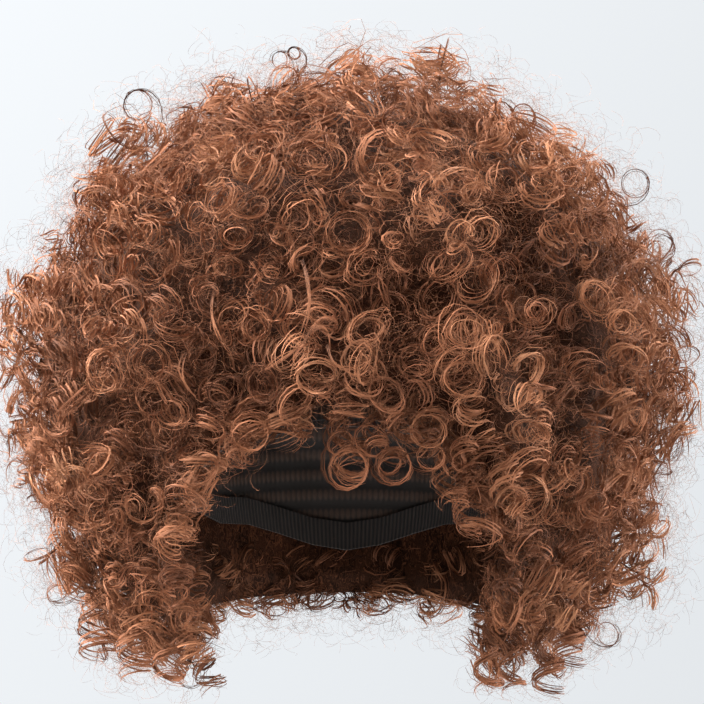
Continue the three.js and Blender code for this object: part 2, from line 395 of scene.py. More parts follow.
def streak_group():
    """A shader node group: fine streaks along fibres, from a place across and a place along them."""
    group = bpy.data.node_groups.new("fibre streaks", "ShaderNodeTree")
    for name, value in STREAK_INPUTS.items():
        socket = group.interface.new_socket(name, in_out="INPUT", socket_type="NodeSocketFloat")
        socket.default_value = value
    group.interface.new_socket("Streak", in_out="OUTPUT", socket_type="NodeSocketFloat")
    given = group.nodes.new("NodeGroupInput").outputs
    wide = calculate(group, "MULTIPLY", given["Across"], given["Fineness"])
    far = calculate(group, "MULTIPLY", given["Along"], given["Length"])
    place = add_node(group, "CombineXYZ", {"X": wide, "Y": far}).outputs[0]
    feeds = {"Vector": place, "Scale": 1, "Detail": STREAK_DETAIL}
    noise = add_node(group, "TexNoise", feeds, noise_dimensions="2D").outputs["Fac"]
    feed(group, group.nodes.new("NodeGroupOutput"), {"Streak": stretch(group, noise, *STREAK_RANGE, 0, 1)})
    return group


streaks = streak_group()
print("streak group inputs:", [item.name for item in streaks.interface.items_tree])

# %% Lay streaks on a finish
FIBRES = dict(duller=0.08, glossier=0.06, relief=0.2 * MM, drawn_out=0.75)
SHINE_TINT = (1.0, 0.84, 0.70, 1)


def hair_map(tree):
    """The hair's own map: tone across, length along."""
    return add_node(tree, "UVMap", uv_map=MAP_NAME).outputs["UV"]


def place_streaks(tree, across, along, fineness, length):
    """The streak group in a finish. Gives its streaks."""
    feeds = dict(Across=across, Along=along, Fineness=fineness, Length=length)
    return add_node(tree, "Group", feeds, node_tree=streaks).outputs["Streak"]


def lay_fibres(tree, shader, streak, roughness, strength, shine):
    """Streaks in the gloss and the relief of a hair finish, with its shine drawn out along the fibres."""
    relief = add_node(tree, "Bump", {"Height": streak, "Strength": strength, "Distance": FIBRES["relief"]})
    tangent = add_node(tree, "Tangent", direction_type="UV_MAP", uv_map=MAP_NAME)
    dull, glossy = roughness + FIBRES["duller"], roughness - FIBRES["glossier"]
    feeds = {
        "Roughness": stretch(tree, streak, 0, 1, dull, glossy),
        "Normal": relief.outputs["Normal"],
        "Tangent": tangent.outputs["Tangent"],
        "Anisotropic": FIBRES["drawn_out"],
        "Specular Tint": SHINE_TINT,
        "Specular IOR Level": shine,
    }
    feed(tree, shader, feeds)


print("shine tint:", SHINE_TINT)

# %% Make the finish of the curls
HAIR_TONES = [
    (0.0, (0.062, 0.0220, 0.0110)),
    (0.35, (0.170, 0.0610, 0.0290)),
    (0.65, (0.282, 0.1100, 0.0530)),
    (1.0, (0.335, 0.1480, 0.0750)),
]
# Painted shade: the colour darkens towards the roots, which lie deep in the hair's shadow.
PAINTED_ROOT_SHADE = [
    (0.0, (0.30, 0.28, 0.27)),
    (0.45, (0.85, 0.85, 0.85)),
    (1.0, (1.0, 1.0, 1.0)),
]
# The streaks lift the tone: partly the fibres' own tones, partly painted highlights along them.
STREAK_TONE_AND_HIGHLIGHT_LIFT = 0.30


def colour_along(tree, value, stops):
    """A colour that follows a value through a table of places and colours."""
    node = add_node(tree, "ValToRGB", {"Fac": value})
    elements = node.color_ramp.elements
    while len(elements) < len(stops):
        elements.new(0.5)
    for element, (place, colour) in zip(elements, stops):
        element.position = place
        element.color = (*colour, 1)
    return node.outputs["Color"]


def curl_material():
    """Brown fibres: tone by the map's first direction, painted shade towards the roots by its second, streaks
    by both.
    """
    material, tree, shader = new_material("brown curls")
    place = add_node(tree, "SeparateXYZ", {"Vector": hair_map(tree)}).outputs
    streak = place_streaks(tree, place["X"], place["Y"], fineness=420, length=15)
    lifted = calculate(tree, "MULTIPLY_ADD", streak, STREAK_TONE_AND_HIGHLIGHT_LIFT, place["X"])
    tone = colour_along(tree, calculate(tree, "SUBTRACT", lifted, STREAK_TONE_AND_HIGHLIGHT_LIFT / 2), HAIR_TONES)
    shade = colour_along(tree, place["Y"], PAINTED_ROOT_SHADE)
    feeds = {"Factor": 1, "A": tone, "B": shade}
    shaded = add_node(tree, "Mix", feeds, data_type="RGBA", blend_type="MULTIPLY")
    feed(tree, shader, {"Base Color": shaded.outputs["Result"]})
    lay_fibres(tree, shader, streak, roughness=0.62, strength=0.5, shine=0.17)
    return material


curl_finish = curl_material()
print("finish:", curl_finish.name, "nodes", len(curl_finish.node_tree.nodes))

# %% [markdown]
# ## Strips of hair
#
# A lock seen from a step away is a few flat groups of fibres, each less than a millimetre wide. A strip
# of four-sided faces along a line is the least mesh that can show one. All the strips of a section go into
# one mesh straight from arrays, because half a million faces made one by one would take minutes.

# %% Turn lines into strips
MAP_EDGE = 0.001


def strip_faces(lines, across, tones, tone_width):
    """Vertices, faces and map of strips. Lines and across are (strip, point, xyz), tones one a strip."""
    strips, points = lines.shape[:2]
    vertices = np.stack([lines - across, lines + across], axis=2).reshape(-1, 3)
    first = (np.arange(strips)[:, None] * points + np.arange(points - 1)) * 2
    faces = np.stack([first, first + 1, first + 3, first + 2], axis=-1).reshape(-1, 4)
    along = np.broadcast_to(np.linspace(0, 1, points)[None, :, None], (strips, points, 2))
    edges = tones[:, None, None] + tone_width * np.array([-0.5, 0.5])
    places = np.stack([np.broadcast_to(edges, along.shape), along], axis=-1).reshape(-1, 2)
    return vertices, faces, np.clip(places, MAP_EDGE, 1 - MAP_EDGE)


def mesh_piece(name, parts, finish):
    """One object from several (vertices, faces, map) parts, with a smooth surface."""
    offsets = np.cumsum([0] + [len(part[0]) for part in parts[:-1]])
    vertices = np.concatenate([part[0] for part in parts])
    faces = np.concatenate([part[1] + offset for part, offset in zip(parts, offsets)])
    places = np.concatenate([part[2] for part in parts])
    mesh = bpy.data.meshes.new(name)
    mesh.vertices.add(len(vertices))
    mesh.vertices.foreach_set("co", vertices.astype(np.float32).ravel())
    mesh.loops.add(faces.size)
    mesh.loops.foreach_set("vertex_index", faces.astype(np.int32).ravel())
    mesh.polygons.add(len(faces))
    mesh.polygons.foreach_set("loop_start", np.arange(0, faces.size, 4, dtype=np.int32))
    mesh.update(calc_edges=True)
    mesh.shade_smooth()
    layer = mesh.uv_layers.new(name=MAP_NAME)
    layer.data.foreach_set("uv", places[faces.ravel()].astype(np.float32).ravel())
    mesh.materials.append(finish)
    return add_object(name, mesh)


example = strip_faces(np.zeros((1, 2, 3)), np.zeros((1, 2, 3)), np.zeros(1), 0)
print("strip of 2 points:", [part.shape for part in example])

# %% [markdown]
# ## Ringlets
#
# A ringlet is a lock that was set round a rod: it leaves the cap, bends over and winds into a corkscrew
# as wide as a finger. Its middle is a bent line from the root to the tip. The fibres wind round that
# line together, a little apart from each other, and a few fine ones stray.
#
# A curve with a bevel could make one lock, but it would be smooth like a tube. Winding each strip of
# fibres by itself gives the broken edge and the gaps that make hair look like hair.

# %% Describe the locks of a ringlet
def rows_of(names, *rows):
    """A table's rows as dictionaries, from the columns' names and rows of values."""
    return [dict(zip(names.split(), row)) for row in rows]


LOCKS = dict(beside=1.6, apart=0.8, turn=0.7, tone=0.06)
BUNDLES = rows_of(
    "steps width beside apart wander waves roll tones spread",
    (20, 0.80, 0.3, 0.25, 0.35, (1.5, 4.0), 0.35, 0.010, 0.035),
    (20, 0.48, 0.8, 0.50, 0.60, (2.0, 5.0), 0.55, 0.008, 0.050),
    (15, 0.22, 1.7, 1.40, 1.50, (1.0, 3.0), 1.20, 0.005, 0.100),
)
print("triangles a lock:", 2 * sum(bundle["steps"] for bundle in BUNDLES))

# %% Wind strips round the ringlets
WIND = dict(crowding=0.75, ends=(0.86, 1.0), start=0.12, turns=0.04, tightening=1.15, least=0.25, twist=0.6)
OPENING_OUT = dict(first=0.3, by=0.45)
SLIM_AT = (0, 0.3, 0.8, 1)
SLIM_WIDTH = (0.6, 1, 1, 0.15)


def wind(curls, bundle):
    """Strips of one bundle for every lock of every ringlet, as strip_faces gives them."""
    count, locks = curls["lock_turn"].shape
    shape = (count, locks, 1)
    share = np.linspace(0, 1, bundle["steps"] + 1) ** WIND["crowding"]

    def each(key):
        return curls[key][:, None, None]

    def lock(key):
        return curls["lock_" + key][..., None]

    def scatter(amount):
        return rng.normal(0, amount, shape) * each("loose")

    def wave(amount):
        turns = rng.uniform(*bundle["waves"], shape)
        return amount * MM * each("loose") * np.sin(2 * math.pi * (turns * share + rng.uniform(0, 1, shape)))

    reach = share * rng.uniform(*WIND["ends"], shape)
    t = reach[..., None]
    root, bend, tip = each("root"), each("bend"), each("tip")
    middle = (1 - t) ** 2 * root + 2 * t * (1 - t) * bend + t**2 * tip
    along = unit((1 - t) * (bend - root) + t * (tip - bend))
    side = np.broadcast_to(each("side"), along.shape)
    up = np.cross(along, side)

    start = each("start") + lock("turn") + scatter(WIND["start"])
    angle = start + 2 * math.pi * each("turns") * (1 + scatter(WIND["turns"])) * reach ** WIND["tightening"]
    opened = OPENING_OUT["first"] + (1 - OPENING_OUT["first"]) * np.clip(reach / OPENING_OUT["by"], 0, 1)
    width = each("radius") * opened * (1 + each("taper") * (reach - 0.5))
    radius = width + lock("apart") + scatter(bundle["apart"]) * MM
    radius = np.maximum(radius + wave(bundle["wander"]), WIND["least"] * width)
    beside = lock("beside") + scatter(bundle["beside"]) * MM + wave(bundle["wander"])
    outward = np.cos(angle)[..., None] * side + (each("squash") * np.sin(angle))[..., None] * up
    lines = middle + beside[..., None] * along + radius[..., None] * outward

    twist = WIND["twist"]
    roll = rng.normal(0, bundle["roll"], shape) + rng.uniform(-twist, twist, shape) * share
    flat = np.cos(roll)[..., None] * along + np.sin(roll)[..., None] * outward
    across = flat * (bundle["width"] * MM / 2 * np.interp(share, SLIM_AT, SLIM_WIDTH))[:, None]
    tones = curls["lock_tone"] + rng.normal(0, bundle["spread"], shape[:2])
    points = (-1, bundle["steps"] + 1, 3)
    return strip_faces(lines.reshape(points), across.reshape(points), tones.ravel(), bundle["tones"])


print("bundles to wind:", len(BUNDLES))

# %% [markdown]
# ## Seats of the ringlets
#
# Hair is sewn to a wig's cap in rows, so the curls sit in rows round the form, each row shifted against
# the one above. Seats drawn wholly at random would leave bare patches. Slow waves over the form raise
# some of the curls into tufts and leave others in hollows.

# %% Spread seats over the form
RINGLET_SPACING = 14.2 * MM
SEAT_SHIFT = 0.35
FEWEST_IN_ROW = 3
TUFTS = dict(waves=9, shortest=32, longest=75, height=8.5, mean=-1.5)
OPENING_MARGIN = dict(form=8, hem=4, neck=12)
rng = np.random.default_rng(6)

tuft_lengths = rng.uniform(TUFTS["shortest"], TUFTS["longest"], (TUFTS["waves"], 1)) * MM
tuft_waves = unit(rng.normal(size=(TUFTS["waves"], 3))) * 2 * math.pi / tuft_lengths
tuft_starts = rng.uniform(0, 2 * math.pi, TUFTS["waves"])


def tuft(points):
    """Slow waves over the form: above 0 in a tuft, below 0 in a hollow, mostly within 1."""
    return np.sin(points @ tuft_waves.T + tuft_starts).sum(-1) / math.sqrt(TUFTS["waves"])


def form_seats(spacing):
    """Tops of ringlets over the form, in rows a spacing apart, and the directions out of it."""
    rows = round(form_length / spacing)
    seats = []
    for row in range(rows):
        down = (row + 0.5) / rows
        width = np.interp(down * form_length, form_run, form_reach)
        count = max(FEWEST_IN_ROW, round(2 * math.pi * width * half_width / spacing))
        places = np.arange(count) + 0.5 * (row % 2) + rng.uniform(-SEAT_SHIFT, SEAT_SHIFT, count)
        downs = down + rng.uniform(-SEAT_SHIFT, SEAT_SHIFT, count) / rows
        seats.append(np.stack([2 * math.pi * places / count, downs], axis=-1))
    azimuths, downs = np.concatenate(seats).T
    ends = form_point(azimuths, downs)
    outs = form_normal(azimuths, downs)
    ends = ends + outs * ((tuft(ends) * TUFTS["height"] + TUFTS["mean"]) * MM)[:, None]
    keep = ~in_opening(ends, OPENING_MARGIN["form"])
    return ends[keep], outs[keep]


seat_ends, seat_outs = form_seats(RINGLET_SPACING)
print("ringlets over the form:", len(seat_ends))

# %% [markdown]
# ## Hem and face edge
#
# The wig is open below and in front, so the hair is also seen from its edges. The form could be closed
# there and covered like the rest, but real hair is sewn to the cap's rim and hangs. So the hem gets rings
# of curls that point down, and the edge round the face gets curls that look into the opening.

# %% Add seats on the hem
EDGE_SPACING = 16 * MM
HEM_RADIUS = 95
HEM_UNEVEN = 4
HEM_ROWS = rows_of("inward drop", (0.12, -2), (0.5, -1), (0.9, -2))
NECK = dict(half_width=70, half_length=88)


def neck_ring(azimuth, inward):
    """Points of the neck's edge, some millimetres inward of it."""
    x = (NECK["half_width"] - inward) * np.sin(azimuth)
    y = -(NECK["half_length"] - inward) * np.cos(azimuth)
    return np.stack([x, y], axis=-1) * MM


def edge_count(radius):
    """How many curls an edge of some radius in millimetres has room for."""
    return round(2 * math.pi * radius * MM / EDGE_SPACING)


def hem_seats():
    """Seats under the hair, between the outer form and the neck."""
    ends = []
    count = edge_count(HEM_RADIUS)
    for row in HEM_ROWS:
        azimuth = 2 * math.pi * (np.arange(count) + rng.uniform(0, 1, count)) / count
        places = form_point(azimuth, np.ones(count))
        places[:, :2] += (neck_ring(azimuth, 0) - places[:, :2]) * row["inward"]
        places[:, 2] -= (row["drop"] + rng.uniform(-HEM_UNEVEN, HEM_UNEVEN, count)) * MM
        ends.append(places)
    ends = np.concatenate(ends)
    outs = np.broadcast_to([0.0, 0.0, -1.0], ends.shape)
    keep = ~in_opening(ends, OPENING_MARGIN["hem"])
    return ends[keep], outs[keep]


hem_lot = hem_seats()
print("ringlets on the hem:", len(hem_lot[0]))

# %% Add seats round the face
FACE_ROWS = rows_of(
    "behind inward forward tuck",
    (6, -4, 1.3, 0.10),
    (20, 0, 0.6, 0.16),
    (36, 3, 0.2, 0.22),
)
FACE = dict(foot=8, shift=(0.2, 0.8), aim=-0.15, rise=0.02)
JAW = dict(top=-138, run=38)


def form_front(x, z):
    """How far forward the form reaches at a place across and a height."""
    reach = np.interp(z, form_height[::-1], form_reach[::-1])
    return -front_reach * np.sqrt(np.maximum(reach**2 - (x / half_width) ** 2, 0))


def face_seats():
    """Seats on the walls of the face opening, which look into it and forward, and close in below the jaw."""
    corners = FACE_EDGE.copy()
    corners[[0, -1], 1] = form_height[-1] + FACE["foot"] * MM
    run = run_along(np.linalg.norm(np.diff(corners, axis=0), axis=1))
    count = round(run[-1] / EDGE_SPACING)
    ends, outs = [], []
    for row in FACE_ROWS:
        at = (np.arange(count) + rng.uniform(*FACE["shift"], count)) / count * run[-1]
        x, z = (np.interp(at, run, corners[:, i]) for i in (0, 1))
        inward = unit(np.stack([-x, np.zeros(count), np.minimum(FACE["aim"] - z, FACE["rise"])], axis=-1))
        below_jaw = np.clip((JAW["top"] * MM - z) / (JAW["run"] * MM), 0, 1)
        x = x * (1 - row["tuck"] * below_jaw)
        places = np.stack([x, form_front(x, z) + row["behind"] * MM, z], axis=-1)
        ends.append(places + inward * row["inward"] * MM)
        outs.append(unit(inward + np.array([0, -row["forward"], 0])))
    return np.concatenate(ends), np.concatenate(outs)


face_lot = face_seats()
print("ringlets round the face:", len(face_lot[0]))

# %% Add seats round the neck
NECK_RADIUS = 80
NECK_ROWS = rows_of("height inward", (-150, 4), (-164, 2))
NECK_DEGREES = (32, 328)
NECK_UNEVEN = 4


def neck_seats():
    """Seats inside the hair below the cap, which look in at the neck."""
    ends, outs = [], []
    count = edge_count(NECK_RADIUS)
    for row in NECK_ROWS:
        degrees = np.linspace(*NECK_DEGREES, count) + rng.uniform(-NECK_UNEVEN, NECK_UNEVEN, count)
        places = neck_ring(np.radians(degrees), row["inward"])
        ends.append(np.column_stack([places, np.full(count, row["height"] * MM)]))
        outs.append(unit(np.column_stack([-places, np.zeros(count)])))
    ends, outs = np.concatenate(ends), np.concatenate(outs)
    keep = ~in_opening(ends, OPENING_MARGIN["neck"])
    return ends[keep], outs[keep]


edge_lots = [hem_lot, face_lot, neck_seats()]
edge_ends = np.concatenate([ends for ends, outs in edge_lots])
edge_outs = np.concatenate([outs for ends, outs in edge_lots])
print("ringlets on the edges:", [len(ends) for ends, outs in edge_lots])

# %% [markdown]
# ## Shape of each ringlet
#
# One curl could be copied to every seat, but the eye soon finds what repeats. So each gets its own width,
# length, lean, turn and tone. Most are a little wider than a pencil. Curls on the sides hang down a
# little. Those on top are looser, because they are brushed more.

# %% Draw the locks and coils of ringlets
TAPER = (-0.7, 0.3)
SQUASH = (0.65, 1.0)


def draw_locks(count, locks):
    """How the locks of each ringlet lie beside, inside and ahead of each other."""
    shape = (count, locks)
    return dict(
        lock_beside=rng.normal(0, LOCKS["beside"], shape) * MM,
        lock_apart=rng.normal(0, LOCKS["apart"], shape) * MM,
        lock_turn=rng.normal(0, LOCKS["turn"], shape),
        lock_tone=rng.normal(0, LOCKS["tone"], shape),
    )


def draw_coils(count):
    """Where each coil starts, how it narrows and how flat it is."""
    return dict(
        start=rng.uniform(0, 2 * math.pi, count),
        taper=rng.uniform(*TAPER, count),
        squash=rng.uniform(*SQUASH, count),
    )


print("locks lie apart by about", LOCKS["apart"], "mm and beside by", LOCKS["beside"], "mm")

# %% Shape a ringlet
CURL = dict(
    radius=6.1, spread=1.8, least=3.2, most=10.5, length=(7, 16), root=9, turns=(1.3, 2.0), tilt=(0.0, 1.3)
)
TILT_BIAS = 0.9
HANG = 0.5
ROOT_LEAN = 2
TONE_SPREAD_AND_TUFT_SHADE = dict(spread=0.09, tuft=0.28)
LOOSE = dict(middle=1.05, spread=0.4, least=0.7, most=3.0, on_top=1.2)


def shape_ringlets(ends, outs, locks, tone, curl=CURL):
    """Roots, bends and tips of ringlets that just reach their seats, with sizes and tones."""
    count = len(ends)
    radius = np.clip(rng.normal(curl["radius"], curl["spread"], count), curl["least"], curl["most"]) * MM
    length = rng.uniform(*curl["length"], count) * MM
    tilt = np.interp(rng.uniform(0, 1, count) ** TILT_BIAS, [0, 1], curl["tilt"])
    down = np.array([0, 0, -1.0]) + outs[:, 2:] * outs
    lean = unit(rng.normal(size=(count, 3))) + HANG * down
    lean = unit(lean - (lean * outs).sum(-1, keepdims=True) * outs)
    depth = length * np.cos(tilt) + radius * np.sin(tilt)
    bend = ends - outs * depth[:, None]
    tip = bend + (np.cos(tilt)[:, None] * outs + np.sin(tilt)[:, None] * lean) * length[:, None]
    root = bend - outs * curl["root"] * MM - lean * ROOT_LEAN * MM
    hand = np.where(rng.uniform(size=count) < 0.5, -1, 1)
    loose = LOOSE["middle"] * np.exp(rng.normal(0, LOOSE["spread"], count))
    loose = np.clip(loose * (1 + LOOSE["on_top"] * np.clip(outs[:, 2], 0, 1)), LOOSE["least"], LOOSE["most"])
    drawn = draw_locks(count, locks)
    # Painted light and shade: curls on tufts get a lighter tone and those in hollows a darker one, on top of
    # a random spread.
    tones = tone + rng.normal(0, TONE_SPREAD_AND_TUFT_SHADE["spread"], count) + TONE_SPREAD_AND_TUFT_SHADE["tuft"] * tuft(ends)
    drawn["lock_tone"] += tones[:, None]
    turns = hand * rng.uniform(*curl["turns"], count)
    side = unit(np.cross(outs, lean))
    shaped = dict(root=root, bend=bend, tip=tip, side=side, radius=radius, turns=turns, loose=loose)
    return drawn | shaped | draw_coils(count)


ringlets = shape_ringlets(seat_ends, seat_outs, locks=4, tone=0.53)
print("mean coil in mm:", round(2 * ringlets["radius"].mean() / MM, 1))

# %% Shape the deep ringlets and those of the edges
DEEP = dict(spacing=18.5, sink=8)
DEEP_CURL = dict(
    radius=3.9, spread=1.1, least=2.4, most=7.0, length=(9, 17), root=8, turns=(1.5, 2.4), tilt=(0.2, 1.5)
)
EDGE_CURL = CURL | dict(radius=5.2, turns=(1.6, 2.3), tilt=(0.5, 1.5))

deep_ends, deep_outs = form_seats(DEEP["spacing"] * MM)
deep_ends = deep_ends - deep_outs * DEEP["sink"] * MM
# Deep ringlets get a darker tone: painted shade for lying below the others.
deep_ringlets = shape_ringlets(deep_ends, deep_outs, locks=2, tone=0.34, curl=DEEP_CURL)
edge_ringlets = shape_ringlets(edge_ends, edge_outs, locks=4, tone=0.48, curl=EDGE_CURL)
print("deep ringlets:", len(deep_ends), "edge ringlets:", len(edge_ends))

# %% [markdown]
# ## Curls that the eye goes to
#
# A few loose curls hang in front of the forehead, and some large rings face forward. They could be drawn
# at random like the rest, but the eye goes to these first, so they are placed one by one. Tables give the
# middle of each in millimetres. A brow curl hangs from the fringe, and a hem curl from the hair above it.
# A ring takes its depth from the form.

# %% List the placed curls
BROW_CURLS = columns_of(
    "x height depth radius droop turns tone",
    (-37, -74, -117, 7.0, 15, 2.0, 0.60),
    (-42, -84, -115, 5.0, 40, 1.9, 0.42),
    (-17, -72, -116, 4.5, 50, 1.6, 0.45),
    (-2, -78, -117, 4.0, 40, 1.5, 0.42),
    (2, -90, -117, 6.8, 25, 2.2, 0.52),
    (18, -89, -118, 4.8, 10, 2.1, 0.42),
    (12, -79, -119, 5.0, 30, 2.0, 0.50),
    (24, -76, -120, 5.5, 20, 2.1, 0.52),
    (33, -74, -121, 6.8, 5, 2.2, 0.66),
    (46, -85, -118, 6.0, 30, 2.0, 0.52),
    (42, -102, -114, 7.0, 15, 2.0, 0.52),
    (48, -114, -111, 5.0, 60, 2.0, 0.38),
    (64, -102, -115, 7.0, 8, 2.1, 0.66),
)
FRONT_RINGS = columns_of(
    "x height radius turns tone",
    (97, 17, 10.0, 1.9, 0.58),
    (75, -29, 6.0, 1.6, 0.52),
    (46, -35, 7.5, 1.5, 0.60),
    (46, -54, 8.5, 1.5, 0.56),
    (116, -47, 6.0, 1.6, 0.52),
    (103, -108, 6.0, 1.6, 0.55),
    (-100, -100, 6.5, 1.6, 0.55),
    (-104, 14, 6.5, 1.6, 0.50),
)
HEM_CURLS = columns_of(
    "x height radius droop turns tone",
    (-103, -168, 7.0, 55, 2.2, 0.50),
    (-85, -175, 7.0, 50, 2.2, 0.50),
    (-71, -176, 6.0, 25, 2.1, 0.46),
    (57, -179, 5.0, 20, 2.0, 0.42),
    (67, -181, 5.0, 35, 2.0, 0.42),
    (82, -181, 6.5, 65, 2.1, 0.40),
    (90, -171, 6.5, 70, 2.1, 0.40),
)
placed_counts = [len(table["x"]) for table in (BROW_CURLS, HEM_CURLS, FRONT_RINGS)]
print("placed curls: brow, hem and front", placed_counts)

# %% Shape a placed curl
PLACED = dict(length=9, locks=5)
UP = np.array([0, 0, 1.0])


def shape_placed(table, middle, axis, roots, loose):
    """Ringlets like those over the form, at middles in millimetres, that look along an axis."""
    count = len(middle)
    reach = axis * PLACED["length"] / 2
    drawn = {key: values * loose for key, values in draw_locks(count, PLACED["locks"]).items()}
    drawn["lock_tone"] += table["tone"][:, None]
    shaped = dict(
        root=roots * MM,
        bend=(middle - reach) * MM,
        tip=(middle + reach) * MM,
        side=unit(np.cross(axis, UP)),
        radius=table["radius"] * MM,
        turns=table["turns"],
        loose=np.full(count, loose),
    )
    return drawn | shaped | draw_coils(count)


def hang_curls(table, depth, roots, loose):
    """Placed curls that look forward and droop. Roots are a function of their middles."""
    droop = np.radians(table["droop"])
    axis = np.stack([np.zeros(len(droop)), -np.cos(droop), -np.sin(droop)], axis=-1)
    middle = np.stack([table["x"], depth, table["height"]], axis=-1)
    return shape_placed(table, middle, axis, roots(middle), loose)


print("locks a placed curl:", PLACED["locks"])

# %% Hang the brow and hem curls and set the rings
BROW = dict(rise=18, lowest=-64, depth=-101, gathered=0.9)
HEM_ROOT = (0, 12, 24)
HEM_BEHIND = 6
RING = dict(root=17, sideways=0.4)


def brow_roots(middle):
    """Roots in the fringe, above the curls and never below its edge."""
    height = np.maximum(middle[:, 2] + BROW["rise"], BROW["lowest"])
    return np.stack([middle[:, 0] * BROW["gathered"], np.full(len(middle), BROW["depth"]), height], axis=-1)


def hem_roots(middle):
    """Roots in the hair above the hem and behind the curls."""
    return middle + np.array(HEM_ROOT)


def place_front_rings():
    """The large rings, which look half forward and half out of the form."""
    x, height = FRONT_RINGS["x"], FRONT_RINGS["height"]
    depth = form_front(x * MM, height * MM) / MM
    axis = unit(np.stack([x * RING["sideways"], depth, np.zeros(len(x))], axis=-1))
    middle = np.stack([x, depth, height], axis=-1)
    return shape_placed(FRONT_RINGS, middle, axis, middle - axis * RING["root"], loose=1.7)


brow_curls = hang_curls(BROW_CURLS, BROW_CURLS["depth"], brow_roots, loose=0.8)
hem_depth = form_front(HEM_CURLS["x"] * MM, (HEM_CURLS["height"] + HEM_ROOT[2]) * MM) / MM + HEM_BEHIND
hem_curls = hang_curls(HEM_CURLS, hem_depth, hem_roots, loose=0.7)
front_rings = place_front_rings()
placed_lots = (brow_curls, hem_curls, front_rings)
print("locks of the brow, hem and front:", [lot["lock_turn"].size for lot in placed_lots])

# %% [markdown]
# ## Loops
#
# A few fibres that have left their lock make a thin loop, which shows as a ring against the background.
# A curve object could draw one, but strips match the rest of the hair. Each comes out of the hair, spirals
# in and then runs round a circle, which is a formula of the angle. Those of the outline, the brow and the
# hem are placed one by one. The others start at seats that are drawn at random.

# %% Describe a loop
LOOP = dict(steps=24, widths=(0.55, 0.35, 0.2, 0.2), stem=10, settled=0.35, drift=3.5, first_angle=-0.5)
LOOP_SPREAD = dict(uneven=0.11, apart=0.3, drift=0.4, roll=(0.8, 0.4), tone=0.05)
ANY_ANGLE = 6.3


def loop_strips(middle, down, side, radius, turns, tones):
    """Lines, vectors across them and tones of loops that start on their down side and turn towards side."""
    count = len(middle)
    share = np.linspace(0, 1, LOOP["steps"] + 1)
    axis = np.cross(down, side)[:, None]
    angle = LOOP["first_angle"] + share * (2 * math.pi * turns[:, None] - LOOP["first_angle"])
    radial = np.cos(angle)[..., None] * down[:, None] + np.sin(angle)[..., None] * side[:, None]
    lines, across, shades = [], [], []
    for width in LOOP["widths"]:
        reach = radius[:, None] + LOOP["stem"] * MM * np.clip(1 - share / LOOP["settled"], 0, 1) ** 2
        uneven = rng.normal(0, LOOP_SPREAD["uneven"], (count, 1))
        reach = reach * (1 + uneven * np.sin(2 * angle + rng.uniform(0, ANY_ANGLE)))
        reach = reach + rng.normal(0, LOOP_SPREAD["apart"], (count, 1)) * MM
        drift = (LOOP["drift"] * share + rng.normal(0, LOOP_SPREAD["drift"], (count, 1))) * MM
        lines.append(middle[:, None] + reach[..., None] * radial + drift[..., None] * axis)
        roll = rng.normal(*LOOP_SPREAD["roll"], (count, 1, 1))
        across.append((np.cos(roll) * axis + np.sin(roll) * radial) * width * MM / 2)
        shades.append(tones + rng.normal(0, LOOP_SPREAD["tone"], count))
    return np.concatenate(lines), np.concatenate(across), np.concatenate(shades)


print("strips a loop:", len(LOOP["widths"]))

# %% Draw the loops
LONE_LOOPS = columns_of(
    "x height depth radius turns tone",
    (-88, 53, -4, 6.3, 1.5, 0.20),
    (-28, 72, -4, 3.9, 1.5, 0.26),
    (-22, 75, 2, 2.7, 1.4, 0.20),
    (122, 20, -8, 5.8, 1.5, 0.28),
    (134, -6, -6, 4.6, 1.6, 0.32),
    (1, -89, -119, 7.4, 1.9, 0.40),
    (3, -87, -118, 5.8, 1.8, 0.46),
    (19, -88, -119, 6.4, 1.8, 0.36),
    (17, -86, -118, 5.0, 1.7, 0.42),
    (32, -74, -122, 6.6, 1.9, 0.60),
    (33, -84, -121, 5.2, 1.8, 0.50),
    (-2, -79, -117, 5.0, 1.5, 0.40),
    (10, -78, -119, 6.0, 1.5, 0.44),
    (-37, -75, -118, 7.0, 1.8, 0.55),
    (-64, -182, -48, 5.8, 1.4, 0.30),
    (110, -169, -24, 5.2, 1.8, 0.36),
)
LOOP_COUNT = 110
LOOPS = dict(proud=(-3.0, 1.5), sunk=0.5, radius=(3.0, 6.5), turns=(1.0, 1.6), tone=(0.25, 0.5), room=9)
HEAD_MIDDLE = np.array([0, 20, -50]) * MM
FORWARD = np.array([0, -1.0, 0])


def lone_loops():
    """The loops of the table, which face forward."""
    table = LONE_LOOPS
    middle = np.stack([table["x"], table["depth"], table["height"]], axis=-1) * MM
    down = HEAD_MIDDLE - middle
    down = unit(down - (down @ FORWARD)[:, None] * FORWARD)
    side = np.cross(FORWARD, down)
    return loop_strips(middle, down, side, table["radius"] * MM, table["turns"], table["tone"])


def scattered_loops():
    """Loops at random seats, in random planes that stand on the form."""
    count = LOOP_COUNT
    drawn = rng.choice(len(seat_ends), count, replace=False)
    radius = rng.uniform(*LOOPS["radius"], count) * MM
    outs = seat_outs[drawn]
    rise = rng.uniform(*LOOPS["proud"], count) * MM
    middle = seat_ends[drawn] + outs * (rise - radius * LOOPS["sunk"])[:, None]
    side = unit(np.cross(outs, rng.normal(size=(count, 3))))
    turns, tones = rng.uniform(*LOOPS["turns"], count), rng.uniform(*LOOPS["tone"], count)
    room = LOOPS["room"] * MM - radius[:, None]
    kept = ((middle > cad_low - room) & (middle < cad_high + room)).all(axis=1)
    return loop_strips(middle[kept], -outs[kept], side[kept], radius[kept], turns[kept], tones[kept])


loops = [lone_loops(), scattered_loops()]
print("loop strips:", [len(tones) for lines, across, tones in loops])

# %% [markdown]
# ## Strands over the fringe
#
# Some locks over the fringe are combed out almost straight, and their broad sides catch the light. They
# don't wind, so a ringlet with no turns would waste its faces. Each is a bent line between three points,
# seen from the front, and lies on the form with its ends tucked in.

